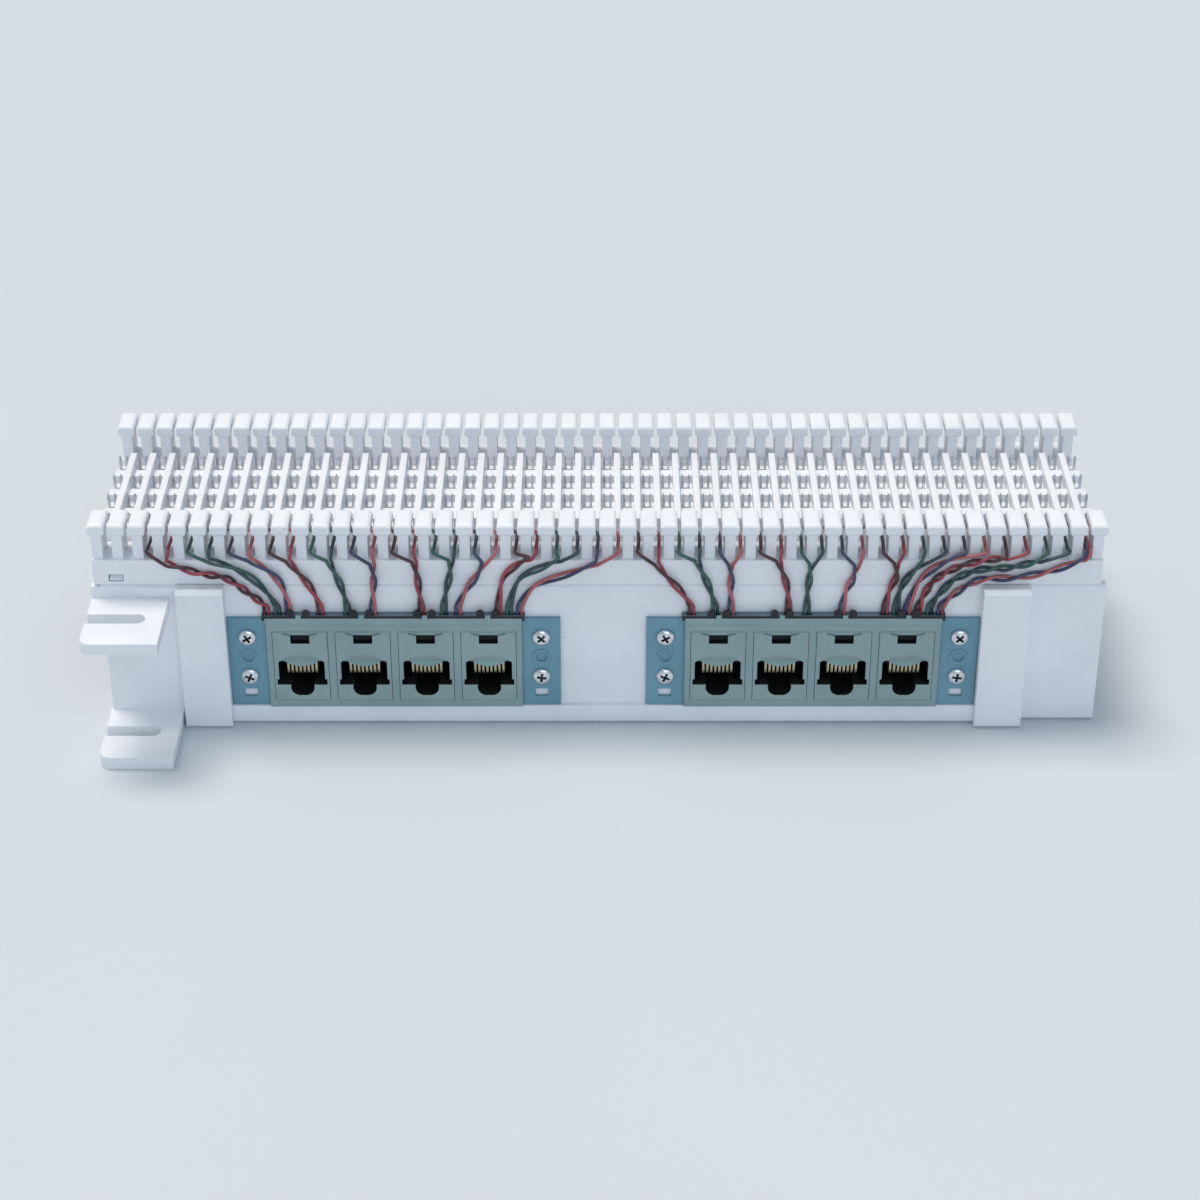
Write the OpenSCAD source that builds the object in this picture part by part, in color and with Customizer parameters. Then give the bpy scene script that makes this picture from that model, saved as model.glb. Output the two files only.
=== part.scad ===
// Punch down wiring block on a stand-off bracket, with two four-port jack modules.
// X runs along the rows of clips, Y across the block, Z up from the bracket's base.
// The jack modules are on the near side, where Y is negative.

/* [Rows of clips] */
// Number of rows of clips
rows = 50; // [48:1:54]
// Distance from one row to the next
row_pitch = 5.08; // [4.9:0.01:5.3]
// Distance from one column of clips to the next
column_pitch = 10.16; // [9.6:0.02:10.6]

/* [Wiring block] */
// Width over the two combs
block_w = 61.4; // [60.6:0.2:64]
// How much shorter the body is than its rows
end_trim = 2; // [1:0.1:2.4]
// Height of the skirt round the clip retainer
skirt_h = 2.6; // [2.2:0.1:3.4]
// Thickness of the skirt
skirt_t = 1.4; // [1.2:0.1:1.8]
// Thickness of the floor under the wire troughs
trough_floor_t = 2.8; // [2:0.1:3.2]
// Height of the comb's foot above the skirt
comb_foot_h = 4.6; // [4:0.1:5]
// Height of the floor of the clip cells above the skirt
cell_floor_h = 5.3; // [4.8:0.1:5.6]
// Height of the walls between rows above the cell floor
row_wall_h = 3.9; // [3:0.1:4.2]
// Thickness of the walls between rows
row_wall_t = 1.6; // [1:0.1:2]
// Height of the ridges between columns above the cell floor
ridge_h = 1.9; // [1:0.1:2.8]
// Width of the ridges between columns
ridge_w = 3.4; // [2.4:0.1:4.2]
// Width of a clip cell across the block
cell_w = 4.6; // [3.6:0.1:5.4]

/* [Combs] */
// Depth of a comb across the block
comb_d = 8.6; // [7:0.1:9]
// Height of a tooth's stem
stem_h = 7.4; // [6:0.1:8.4]
// Width of a tooth's stem
stem_w = 2.6; // [2:0.1:3]
// Width of a tooth's cap
cap_w = 4.2; // [3.6:0.1:4.6]
// Height of a tooth's cap
cap_h = 2.6; // [2:0.1:3.2]
// How far a cap stands out over its stem across the block
cap_lip = 0.7; // [0.4:0.1:1.2]
// Chamfer round the top of a cap
cap_chamfer = 0.6; // [0.3:0.1:0.9]
// Height of the slope under a cap
cap_slope = 0.9; // [0.5:0.1:1.2]

/* [Clips] */
// Width of a clip's fork
fork_w = 2.2; // [2:0.1:2.6]
// Thickness of the clip's strip
clip_t = 0.8; // [0.6:0.05:1]
// Width of the fork's slot
fork_slot_w = 1; // [0.95:0.01:1.1]
// Width of the fork's mouth
fork_mouth_w = 1.5; // [1.3:0.05:1.7]
// Height of the fork above the cell floor
fork_h = 4.1; // [3.2:0.1:4.8]
// Depth of the fork's slot
fork_slot_d = 5.4; // [4.8:0.1:6.4]
// Clearance of a clip in its cell floor
clip_clear = 0.2; // [0.1:0.05:0.25]

/* [Bracket] */
// Height of the bracket's walls
bracket_h = 40.6; // [39.6:0.2:44]
// Thickness of the bracket's walls
wall_t = 2.4; // [2:0.1:2.8]
// Thickness of the bracket's base
base_t = 3; // [2.4:0.1:4]
// Groove along the seam between the bracket and the block
seam_cut = 0.4; // [0.2:0.05:0.5]
// Chamfer along the bracket's lower edges and the posts' tops
edge_cut = 1; // [0.4:0.1:1.2]
// Leg of the inner corner between the base and the walls
inner_corner = 1.4; // [0.6:0.1:2]
// How far the bracket sits towards +X under the block
bracket_shift = 1.5; // [0.8:0.1:2]
// Width of a base bar along the bracket
base_bar_w = 24; // [18:0.5:28]
// Width of a base opening across the bracket
base_opening_w = 42; // [30:1:46]
// Diameter of a base screw hole
base_hole_d = 5; // [4.2:0.1:6]
// Distance of the base screw holes from the bracket's ends
base_hole_inset = 12; // [9:0.5:15]
// Distance between base screw holes across the bracket
base_hole_gap = 36; // [30:1:44]
// Height of the ledge under the jack modules
ledge_h = 5.6; // [5:0.1:7]
// How far the ledge stands out from the wall
ledge_out = 1.5; // [1:0.1:1.8]
// Width of a post beside a jack module
post_w = 11.9; // [8:0.1:14]
// How far a post stands out from the wall
post_out = 3.9; // [3:0.1:4.6]
// How far a post reaches over the block's skirt
post_over = 0.3; // [0.1:0.1:1.2]
// Clearance between a post and a jack module
post_clear = 0.15; // [0.1:0.05:0.4]

/* [Mounting tabs] */
// Width of the lower mounting tab along the bracket
low_tab_w = 18.7; // [17:0.1:20]
// Width of the upper mounting tab along the bracket
high_tab_w = 19.4; // [17:0.1:21]
// How far a mounting tab stands out from the wall
tab_out = 22.2; // [19:0.1:25]
// How far the lower tab reaches past the wall's end
low_tab_past = 0.5; // [0.2:0.1:1.5]
// How far the upper tab reaches past the wall's end
high_tab_past = 2.4; // [1:0.1:2.8]
// Thickness of the lower tab
low_tab_t = 3.6; // [3:0.1:4.5]
// Thickness of the upper tab
high_tab_t = 3.1; // [2.6:0.1:4]
// Distance of the upper tab's top below the wall's top
high_tab_drop = 3.6; // [3:0.1:6]
// Radius of a tab's outer corner
tab_corner_r = 3; // [2:0.1:4]
// Width of a tab's slot
slot_w = 4.3; // [4.2:0.1:5]
// Distance from a tab's inner edge to the closed end of its slot
slot_inset = 4.6; // [2.5:0.1:5.5]
// Distance from the wall to the slot's centre line
slot_reach = 10.2; // [8:0.1:14]

/* [Latches] */
// Width of a latch hook
hook_w = 3.4; // [2.6:0.1:4]
// Distance of a hook's centre from the block's end
hook_inset = 5.7; // [4.5:0.1:8]
// Height of a hook
hook_h = 2.4; // [2:0.1:2.5]
// How far a hook's nose reaches into the skirt
nose_out = 1.2; // [0.8:0.1:1.3]
// Clearance round a hook
hook_clear = 0.2; // [0.1:0.05:0.3]

// Length of the raised pad between a hook and the nearest post
hook_pad_l = 10.5; // [6:0.5:11]
// Height of that pad
hook_pad_h = 2.4; // [1.6:0.1:3]
// How far that pad stands out from the wall
hook_pad_out = 0.5; // [0.3:0.1:0.8]

/* [Jack modules] */
// Number of jacks in a module
jacks = 4; // [4:1:4]
// Distance from one jack to the next
jack_pitch = 15.87; // [15.4:0.01:16.4]
// Distance between the two modules
module_gap = 21.7; // [16:0.1:26]
// Height of a module's face
module_h = 25.9; // [25.4:0.1:27]
// Width of the plate's flange beside the jack frame
flange_w = 9.7; // [8:0.1:12]
// Thickness of the plate
plate_t = 1; // [0.8:0.1:1.4]
// Thickness of the jack frame's face
frame_t = 1; // [0.8:0.1:1.6]
// Depth of the jack frame behind its face
frame_d = 5.7; // [4.8:0.1:7]
// Thickness of the jack frame's outer walls
frame_wall = 0.7; // [0.6:0.05:0.9]
// How far the jack frame's face laps over the plate
frame_lap = 0.8; // [0.6:0.1:1.4]
// Width of a jack
jack_w = 13.8; // [13.4:0.05:14]
// Height of a jack
jack_h = 20.3; // [19.8:0.1:20.8]
// Height of a jack's underside above the module's lower edge
jack_rise = 2.1; // [1.8:0.1:2.4]
// Depth of a jack
jack_d = 17; // [16:0.1:19]
// Thickness of the collar behind the frame
collar_t = 1.5; // [1:0.1:2.5]
// How far the collar stands out round the jack
collar_lip = 0.6; // [0.4:0.05:0.65]
// Clearance of a jack in its frame, and of a frame in its window
jack_clear = 0.1; // [0.05:0.01:0.15]

/* [Jack ports] */
// Width of a port
port_w = 11.7; // [11.6:0.05:11.9]
// Height of a port without its latch notch
port_h = 6.7; // [6.5:0.1:7]
// Depth of a port
port_d = 13; // [12:0.1:14]
// Height of a port's floor above the jack's underside
port_rise = 4.6; // [4.4:0.1:5.4]
// Width of a port over its lower corner notches
port_ear_w = 12.7; // [12.3:0.05:12.9]
// Height of the lower corner notches
port_ear_h = 1.6; // [1.2:0.1:2]
// Width of the latch notch
notch_w = 6; // [5.6:0.1:6.4]
// Depth of the latch notch below the port's floor
notch_h = 3; // [2.6:0.1:3.2]
// Corner radius of the latch notch
notch_r = 2.4; // [1.2:0.1:2.6]
// Height of the arched scoop above the port
scoop_h = 2.2; // [1.6:0.1:2.6]
// Depth of the slope that leads from the scoop into the port
lead_d = 1.4; // [1:0.1:1.4]
// How far the contact carrier's lip reaches down from the port's ceiling
lip_h = 2; // [1:0.1:2.1]
// Width of that lip at the ceiling
lip_w = 8.6; // [8.2:0.1:9.4]
// Thickness of that lip
lip_t = 0.5; // [0.3:0.05:0.55]
// Width of the small window above the port
window_w = 4.8; // [4:0.1:6]
// Height of the small window above the port
window_h = 2.2; // [1.6:0.1:2.4]
// Height of the small window's centre above the jack's underside
window_rise = 18; // [17:0.1:18.2]
// Width of the funnel above the small window
funnel_w = 9; // [7:0.1:10]
// Height of the funnel above the small window
funnel_h = 0.9; // [0.5:0.05:1]
// Depth of the funnel
funnel_d = 0.6; // [0.3:0.1:0.9]
// Contacts in a port
contacts = 8; // [6:1:8]
// Distance from one contact to the next
contact_pitch = 1.02; // [1:0.01:1.1]
// Width of a contact
contact_w = 0.4; // [0.3:0.05:0.5]
// How far the contacts reach down from the port's ceiling
contact_drop = 2; // [1.4:0.1:2.1]

/* [Plate screws] */
// Diameter of a screw's head
screw_head_d = 4.6; // [3.8:0.1:5]
// Height of a screw's head
screw_head_h = 1.2; // [0.9:0.1:1.4]
// Diameter of a screw's shank
screw_d = 2.2; // [1.8:0.1:2.4]
// Length of a screw's shank
screw_l = 4.2; // [3.6:0.1:6]
// Clearance round a screw's shank
screw_clear = 0.15; // [0.1:0.05:0.2]
// Height of the lower screw above the module's lower edge
low_screw_rise = 8.8; // [8:0.1:10.4]
// Height of the upper screw above the module's lower edge
high_screw_rise = 20.4; // [19.4:0.1:22]

/* [Wire guides] */
// How far a wire guide reaches past the jack frame at each end
guide_past = 0.8; // [0.4:0.1:1.2]
// How far a wire guide stands out from the wall
guide_out = 2.2; // [2.1:0.1:2.6]
// Height of a wire guide
guide_h = 1.4; // [1.2:0.1:2]
// Depth of a wire guide's slots
guide_slot_d = 1; // [0.6:0.1:1.1]
// Width of the round-topped lugs on a wire guide's front edge
lug_w = 1.9; // [1.4:0.1:2.2]
// Height of those lugs above the guide
lug_h = 1.7; // [1.2:0.1:1.8]
// Thickness of those lugs
lug_t = 0.4; // [0.3:0.05:0.45]
// Distance of a lug's centre from the centre of its jack
lug_off = 1.9; // [1.7:0.1:3]
// Height of the frame's lip in front of the guide
guide_lip_h = 0.8; // [0.4:0.1:1.1]
// Width of the clip that holds the guide over each jack
guide_clip_w = 1.3; // [0.8:0.1:1.6]
// Thickness of that clip
guide_clip_t = 0.4; // [0.3:0.1:0.8]
// How far that clip starts below the guide
guide_clip_root = 1.2; // [0.8:0.1:2]
// How far that clip reaches above the guide
guide_clip_over = 0.3; // [0.1:0.1:0.6]

/* [Wires] */
// Diameter of a wire
wire_d = 0.9; // [0.7:0.01:0.94]

/* [Hidden] */
$fn = 48;

// How far a cut runs past the face that it opens
past = 1;
// How far a joined shape is sunk into its neighbour
sunk = 0.4;
// Small bevel on the edge of a fitted piece
bevel = 0.3;

// Levels of the wiring block, from the bracket's seam upwards
seam_z = bracket_h;
deck_z = seam_z + skirt_h;
trough_z = deck_z + trough_floor_t;
comb_z = deck_z + comb_foot_h;
cell_z = deck_z + cell_floor_h;
cap_z = comb_z + stem_h;
top_z = cap_z + cap_h;
fork_top_z = cell_z + fork_h;

// Plan of the wiring block
block_l = rows * row_pitch - end_trim;
half_w = block_w / 2;
comb_inner = half_w - comb_d;
field_half_w = 1.5 * column_pitch + cell_w / 2;
pocket_half_l = block_l / 2 - skirt_t;
pocket_half_w = half_w - skirt_t;
retainer_clear = 0.1;

// Plan of the bracket
bracket_half_l = block_l / 2;
inner_half_w = half_w - wall_t;
hook_x = block_l / 2 - hook_inset;
hook_t = pocket_half_w - retainer_clear - inner_half_w;
catch_d = 1.3;
sill_h = hook_h - catch_d;
high_tab_z = bracket_h - high_tab_drop - high_tab_t;

// Plan and levels of the jack modules
frame_l = jacks * jack_pitch + 2 * (frame_lap + frame_wall + jack_clear) - (jack_pitch - jack_w);
plate_l = frame_l + 2 * flange_w;
module_off = (module_gap + plate_l) / 2;
module_z = ledge_h;
plate_y = -half_w - plate_t;
face_y = plate_y - frame_t;
frame_back_y = plate_y + frame_d;
jack_z = module_z + jack_rise;
port_z = jack_z + port_rise;
port_top_z = port_z + port_h;
port_back_y = face_y + port_d;
guide_z = module_z + module_h;
frame_back_l = frame_l - 2 * frame_lap;
frame_back_z = jack_z - jack_clear - frame_wall;
frame_back_h = jack_h + 2 * (jack_clear + frame_wall);
window_l = frame_back_l + 2 * jack_clear;
window_wall_h = frame_back_h + 2 * jack_clear;
window_z = frame_back_z - jack_clear;
screw_off = plate_l / 2 - flange_w / 2;

// Wires
wire_sides = 6;
pair_off = 0.56;
guide_front_y = -half_w - guide_out;
guide_y = -half_w - guide_out / 2;
guide_slot_l = 2 * pair_off + wire_d + 0.4;
guide_slot_w = wire_d + 0.4;
entry_z = guide_z + guide_h - guide_slot_d + 0.2;
lift_z = guide_z + guide_h + 2;
gap_wire_z = comb_z + 3.1;

// Routes of the twisted pairs over the near wall: the place where the two wires meet, the
// places that the pair passes, as X and the height above the bracket, and the X of its entry.
ROUTES = [
  [[-107.4, 7], [-99.5, 4.2], [-92.6, 2.6], [-87.4, -1.6], -83.2],
  [[-96.6, 7.8], [-90.6, 5.6], [-84.6, 1], -80.4],
  [[-86.4, 8], [-82, 4.8], [-78.8, 0.4], -77.6],
  [[-77, 7.8], [-74.2, 3.8], [-71.4, -0.6], -69.6],
  [[-66.8, 7.8], [-65.4, 4], [-63.8, -0.6], -62.8],
  [[-56, 6.6], [-55.8, 3.4], [-56, -0.6], -56.4],
  [[-45.6, 7.4], [-45, 3.8], [-44.6, -0.6], -44.2],
  [[-36.4, 7.8], [-36.7, 4], [-37.7, -0.6], -38.6],
  [[-28.2, 7], [-30.2, 3.2], [-32.8, -0.8], -35],
  [[-16.8, 8.4], [-20.2, 6.4], [-23.6, 2.4], -24.9],
  [[-9.4, 8], [-13.4, 6], [-19.4, 2.4], -22.2],
  [[-0.2, 7], [-7, 4], [-15.6, 0.4], -19.5],
  [[14.8, 6.8], [17.6, 2.8], [21, -1.2], 23.6],
  [[24.8, 7.8], [26.4, 3.8], [28.2, -0.6], 29.6],
  [[33.2, 6.6], [33.4, 3.4], [33.4, -0.6], 33.6],
  [[45, 7.8], [46.4, 3.8], [47.6, -0.6], 48],
  [[53.4, 6.6], [53, 3.4], [52.7, -0.6], 52.6],
  [[64.6, 6.2], [63.8, 2.6], [62.4, -0.8], 61.4],
  [[74.4, 7], [74.6, 3.4], [73.2, -0.6], 72.2],
  [[81, 7], [77.8, 3.4], [75.9, -0.6], 75],
  [[89.6, 9], [84.6, 6.2], [80.4, 1.8], 77.8],
  [[101.8, 8.6], [95, 7.6], [88, 5], [83.4, 1], 80.6],
  [[110, 7.8], [103, 5.8], [95, 5], [88.4, 1.6], 83.4],
  [[121.2, 8.4], [113, 4.8], [104, 2.8], [96, 2.4], [90.4, -1], 86.2]
];

module along_x(x0, x1) {
  translate([x0, 0, 0]) rotate([90, 0, 90]) linear_extrude(x1 - x0) children();
}

module along_y(y0, y1) {
  translate([0, y1, 0]) rotate([90, 0, 0]) linear_extrude(y1 - y0) children();
}

module both_sides() {
  children();
  mirror([0, 1, 0]) children();
}

// A rectangle from one corner, with round corners of radius r
module round_rect(x, y, w, h, r) {
  translate([x + r, y]) square([w - 2 * r, h]);
  translate([x, y + r]) square([w, h - 2 * r]);
  for (cx = [x + r, x + w - r], cy = [y + r, y + h - r]) translate([cx, cy]) circle(r);
}

// Centre of row i, counted from 0 at the left
function row_x(i) = (i - (rows - 1) / 2) * row_pitch;
// Centre of the gap between rows i and i + 1
function gap_x(i) = row_x(i) + row_pitch / 2;
// Centre of module side, -1 for the left one and 1 for the right one
function module_x(side) = bracket_shift + side * module_off;
// Centre of jack j of a module, counted from 0 at the left
function jack_x(side, j) = module_x(side) + (j - (jacks - 1) / 2) * jack_pitch;

module each_row() {
  for (i = [0 : rows - 1]) translate([row_x(i), 0]) children();
}

// ---- Wiring block ----

// Section through the moulding across the rows
module block_section() {
  polygon([
    [seam_cut - half_w, seam_z], [half_w - seam_cut, seam_z], [half_w, seam_z + seam_cut],
    [half_w, trough_z], [-half_w, trough_z], [-half_w, seam_z + seam_cut]
  ]);
  for (y = [-half_w, comb_inner]) translate([y, deck_z]) square([comb_d, comb_z - deck_z]);
  translate([-field_half_w, deck_z]) square([2 * field_half_w, cell_z - deck_z]);
  for (k = [-1 : 1]) {
    translate([k * column_pitch - ridge_w / 2, deck_z]) square([ridge_w, cell_z + ridge_h - deck_z]);
  }
}

// A tooth seen from the side of the block, with its foot at the origin
module tooth_front() {
  polygon([
    [-stem_w / 2, -sunk], [stem_w / 2, -sunk], [stem_w / 2, stem_h - cap_slope],
    [cap_w / 2, stem_h], [cap_w / 2, stem_h + cap_h - cap_chamfer],
    [cap_w / 2 - cap_chamfer, stem_h + cap_h], [cap_chamfer - cap_w / 2, stem_h + cap_h],
    [-cap_w / 2, stem_h + cap_h - cap_chamfer], [-cap_w / 2, stem_h],
    [-stem_w / 2, stem_h - cap_slope]
  ]);
}

// The far comb seen from its end
module comb_side() {
  polygon([
    [comb_inner + cap_lip, comb_z - sunk], [half_w - cap_lip, comb_z - sunk],
    [half_w - cap_lip, cap_z - cap_slope], [half_w, cap_z], [half_w, top_z - cap_chamfer],
    [half_w - cap_chamfer, top_z], [comb_inner + cap_chamfer, top_z],
    [comb_inner, top_z - cap_chamfer], [comb_inner, cap_z], [comb_inner + cap_lip, cap_z - cap_slope]
  ]);
}

module combs() {
  intersection() {
    along_y(-half_w - past, half_w + past) translate([0, comb_z]) each_row() tooth_front();
    along_x(-block_l / 2 - row_pitch, block_l / 2 + row_pitch) {
      comb_side();
      mirror([1, 0]) comb_side();
    }
  }
}

module row_walls() {
  along_y(-field_half_w, field_half_w) for (i = [0 : rows - 2]) {
    translate([gap_x(i) - row_wall_t / 2, cell_z - sunk]) square([row_wall_t, row_wall_h + sunk]);
  }
}

// Slots for the forks and grooves for the strips that join them
module clip_cuts() {
  slot_t = clip_t + 2 * clip_clear;
  cut_w = fork_w + 2 * clip_clear;
  intersection() {
    along_y(-half_w, half_w) each_row() {
      translate([-cut_w / 2, deck_z - past]) square([cut_w, cell_z - deck_z + 2 * past]);
    }
    along_x(-block_l / 2 - past, block_l / 2 + past) for (side = [-1, 1]) {
      for (k = [0.5, 1.5]) {
        translate([side * k * column_pitch - slot_t / 2, deck_z - past])
          square([slot_t, cell_z - deck_z + 2 * past]);
      }
      translate([side * column_pitch - column_pitch / 2 - slot_t / 2, deck_z - past])
        square([column_pitch + slot_t, clip_t + clip_clear + past]);
    }
  }
}

// Windows in the skirt for the bracket's hooks, one at the near left and one at the far right
module latch_windows() {
  for (turn = [0, 180]) rotate([0, 0, turn]) {
    translate([-hook_x - hook_w / 2 - hook_clear, -half_w - past, seam_z + sill_h])
      cube([hook_w + 2 * hook_clear, half_w + past - inner_half_w + hook_clear, skirt_h + hook_clear - sill_h + sunk]);
  }
}

module wiring_block() {
  color("#e9ecf2") difference() {
    union() {
      along_x(-block_l / 2, block_l / 2) block_section();
      combs();
      row_walls();
    }
    translate([-pocket_half_l, -pocket_half_w, seam_z - past])
      cube([2 * pocket_half_l, 2 * pocket_half_w, skirt_h + past]);
    clip_cuts();
    latch_windows();
  }
}

// ---- Clips ----

// One fork seen along its wire, with its foot on the skirt's top level
module fork_front() {
  lead_h = 1.2;
  corner = 0.3;
  polygon([
    [-fork_w / 2, deck_z], [fork_w / 2, deck_z], [fork_w / 2, fork_top_z - corner],
    [fork_w / 2 - corner, fork_top_z], [fork_mouth_w / 2, fork_top_z],
    [fork_slot_w / 2, fork_top_z - lead_h], [fork_slot_w / 2, fork_top_z - fork_slot_d],
    [-fork_slot_w / 2, fork_top_z - fork_slot_d], [-fork_slot_w / 2, fork_top_z - lead_h],
    [-fork_mouth_w / 2, fork_top_z], [corner - fork_w / 2, fork_top_z],
    [-fork_w / 2, fork_top_z - corner]
  ]);
}

// A row of double clips, each a strip turned up into a fork at both ends
module clips(side) {
  color("#8f949c") intersection() {
    along_y(-half_w, half_w) each_row() fork_front();
    along_x(-block_l / 2, block_l / 2) {
      for (k = [0.5, 1.5]) {
        translate([side * k * column_pitch - clip_t / 2, deck_z]) square([clip_t, fork_top_z - deck_z]);
      }
      translate([side * column_pitch - column_pitch / 2, deck_z]) square([column_pitch, clip_t]);
    }
  }
}

// ---- Clip retainer ----

// A plate inside the skirt that holds the clips up and rests on the bracket's walls
module clip_retainer() {
  plate_half_l = pocket_half_l - retainer_clear;
  plate_half_w = pocket_half_w - retainer_clear;
  color("#dfe3ea") difference() {
    translate([-plate_half_l, -plate_half_w, seam_z]) cube([2 * plate_half_l, 2 * plate_half_w, skirt_h]);
    for (turn = [0, 180]) rotate([0, 0, turn]) {
      translate([-hook_x - hook_w / 2 - hook_clear, -half_w, seam_z - past])
        cube([hook_w + 2 * hook_clear, half_w - inner_half_w + hook_clear, skirt_h + 2 * past]);
    }
  }
}

// ---- Bracket ----

// One half of the channel's section, on the side where Y is positive
module half_channel() {
  polygon([
    [0, 0], [half_w - edge_cut, 0], [half_w, edge_cut], [half_w, bracket_h - seam_cut],
    [half_w - seam_cut, bracket_h], [inner_half_w, bracket_h], [inner_half_w, base_t + inner_corner],
    [inner_half_w - inner_corner, base_t], [0, base_t]
  ]);
}

module channel() {
  along_x(bracket_shift - bracket_half_l, bracket_shift + bracket_half_l) {
    half_channel();
    mirror([1, 0]) half_channel();
  }
}

// Section of a post, which reaches up over the block's skirt
module post_section() {
  post_top_z = bracket_h + post_over;
  polygon([
    [sunk + edge_cut - half_w, 0], [sunk + edge_cut - half_w, bracket_h - seam_cut - sunk],
    [-half_w, bracket_h - seam_cut], [-half_w, post_top_z], [edge_cut - half_w - post_out, post_top_z],
    [-half_w - post_out, post_top_z - edge_cut], [-half_w - post_out, edge_cut],
    [edge_cut - half_w - post_out, 0]
  ]);
}

// The posts beside the modules, the ledge under them and the pad under the hook's window
module wall_features() {
  post_x = module_off + plate_l / 2 + post_clear;
  for (side = [-1, 1]) {
    x = bracket_shift + side * (post_x + post_w / 2) - post_w / 2;
    along_x(x, x + post_w) post_section();
  }
  along_x(bracket_shift - post_x, bracket_shift + post_x) polygon([
    [sunk + edge_cut - half_w, 0], [sunk + edge_cut - half_w, ledge_h], [-half_w - ledge_out, ledge_h],
    [-half_w - ledge_out, edge_cut], [edge_cut - half_w - ledge_out, 0]
  ]);
  pad_x = bracket_shift - post_x - post_w - hook_pad_l;
  translate([pad_x, -half_w - hook_pad_out, bracket_h - seam_cut - hook_pad_h])
    cube([hook_pad_l + sunk, hook_pad_out + sunk, hook_pad_h]);
}

// One mounting tab in plan, at the near left end, with a slot that is open at its outer end
module tab_plan(tab_past, tab_w) {
  x0 = -bracket_half_l - tab_past;
  y0 = -half_w - tab_out;
  slot_x = x0 + tab_w - slot_inset - slot_w / 2;
  difference() {
    union() {
      translate([x0 + tab_corner_r, y0]) square([tab_w - tab_corner_r, tab_out + sunk]);
      translate([x0, y0 + tab_corner_r]) square([tab_w, tab_out + sunk - tab_corner_r]);
      translate([x0 + tab_corner_r, y0 + tab_corner_r]) circle(tab_corner_r);
    }
    translate([slot_x, -half_w - slot_reach]) circle(d = slot_w);
    translate([x0 - past, -half_w - slot_reach - slot_w / 2]) square([slot_x - x0 + past, slot_w]);
  }
}

// The two tabs, and the root that carries the upper one past the wall's end
module tabs() {
  linear_extrude(low_tab_t) tab_plan(low_tab_past, low_tab_w);
  translate([0, 0, high_tab_z]) linear_extrude(high_tab_t) tab_plan(high_tab_past, high_tab_w);
  translate([-bracket_half_l - high_tab_past, -half_w, high_tab_z])
    cube([high_tab_past + sunk, wall_t, bracket_h - high_tab_z - seam_cut]);
}

// A hook that rises from the near wall's top into the skirt's window
module hook() {
  nose_z = seam_z + sill_h + hook_clear;
  root = -inner_half_w;
  along_x(-hook_x - hook_w / 2, -hook_x + hook_w / 2) polygon([
    [root, seam_z - sunk], [root, seam_z + hook_h], [root - hook_t, seam_z + hook_h],
    [root - hook_t - nose_out, nose_z + 0.4], [root - hook_t - nose_out, nose_z],
    [root - hook_t, nose_z], [root - hook_t, seam_z - sunk]
  ]);
}

// Windows of both walls that take a module each
module wall_windows() {
  along_y(-half_w - past, half_w + past) for (side = [-1, 1]) {
    translate([module_x(side) - window_l / 2, window_z]) square([window_l, window_wall_h]);
  }
}

module base_openings() {
  opening_l = bracket_half_l - 1.5 * base_bar_w;
  for (side = [-1, 1]) translate([bracket_shift + side * (base_bar_w + opening_l) / 2, 0, -past]) {
    linear_extrude(base_t + 2 * past)
      round_rect(-opening_l / 2, -base_opening_w / 2, opening_l, base_opening_w, 4);
  }
}

module base_holes() {
  hole_x = bracket_half_l - base_hole_inset;
  for (side = [-1, 1], y = [-1, 1]) {
    translate([bracket_shift + side * hole_x, y * base_hole_gap / 2, -past])
      cylinder(d = base_hole_d, h = base_t + 2 * past);
  }
}

module mounting_bracket() {
  color("#e4e8f0") difference() {
    union() {
      channel();
      translate([bracket_shift, 0, 0]) for (turn = [0, 180]) rotate([0, 0, turn]) {
        tabs();
        translate([-bracket_shift, 0, 0]) wall_features();
      }
      for (turn = [0, 180]) rotate([0, 0, turn]) hook();
    }
    wall_windows();
    base_openings();
    base_holes();
    for (side = [-1, 1]) screw_places(side) {
      translate([0, -half_w - past, 0]) rotate([-90, 0, 0]) cylinder(d = screw_d + 2 * screw_clear, h = wall_t + 2 * past);
    }
  }
}

// ---- Jack modules ----

// Puts its child at each of a module's four screws
module screw_places(side) {
  for (end = [-1, 1], rise = [low_screw_rise, high_screw_rise]) {
    translate([module_x(side) + end * screw_off, 0, module_z + rise]) children();
  }
}

module jack_plate(side) {
  pad_w = 3.3;
  pad_h = 2.3;
  pad_rise = 3.7;
  ring_rise = (low_screw_rise + high_screw_rise) / 2;
  ring_d = 4.4;
  ring_hole_d = 3;
  ring_out = 0.3;
  color("#6f9aa3") difference() {
    union() {
      translate([module_x(side) - plate_l / 2, plate_y, module_z]) cube([plate_l, plate_t, module_h]);
      for (end = [-1, 1]) translate([module_x(side) + end * screw_off, plate_y - ring_out, module_z + ring_rise])
        rotate([-90, 0, 0]) cylinder(d = ring_d, h = plate_t);
    }
    translate([module_x(side) - window_l / 2, plate_y - past, window_z])
      cube([window_l, plate_t + 2 * past, window_wall_h]);
    for (end = [-1, 1]) translate([module_x(side) + end * screw_off, 0, module_z]) {
      translate([-pad_w / 2, plate_y - past, pad_rise - pad_h / 2]) cube([pad_w, plate_t + 2 * past, pad_h]);
      translate([0, plate_y - past, ring_rise]) rotate([-90, 0, 0]) cylinder(d = ring_hole_d, h = past + ring_out);
    }
    screw_places(side) translate([0, plate_y - past, 0]) rotate([-90, 0, 0])
      cylinder(d = screw_d + 2 * screw_clear, h = plate_t + 2 * past);
  }
}

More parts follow.
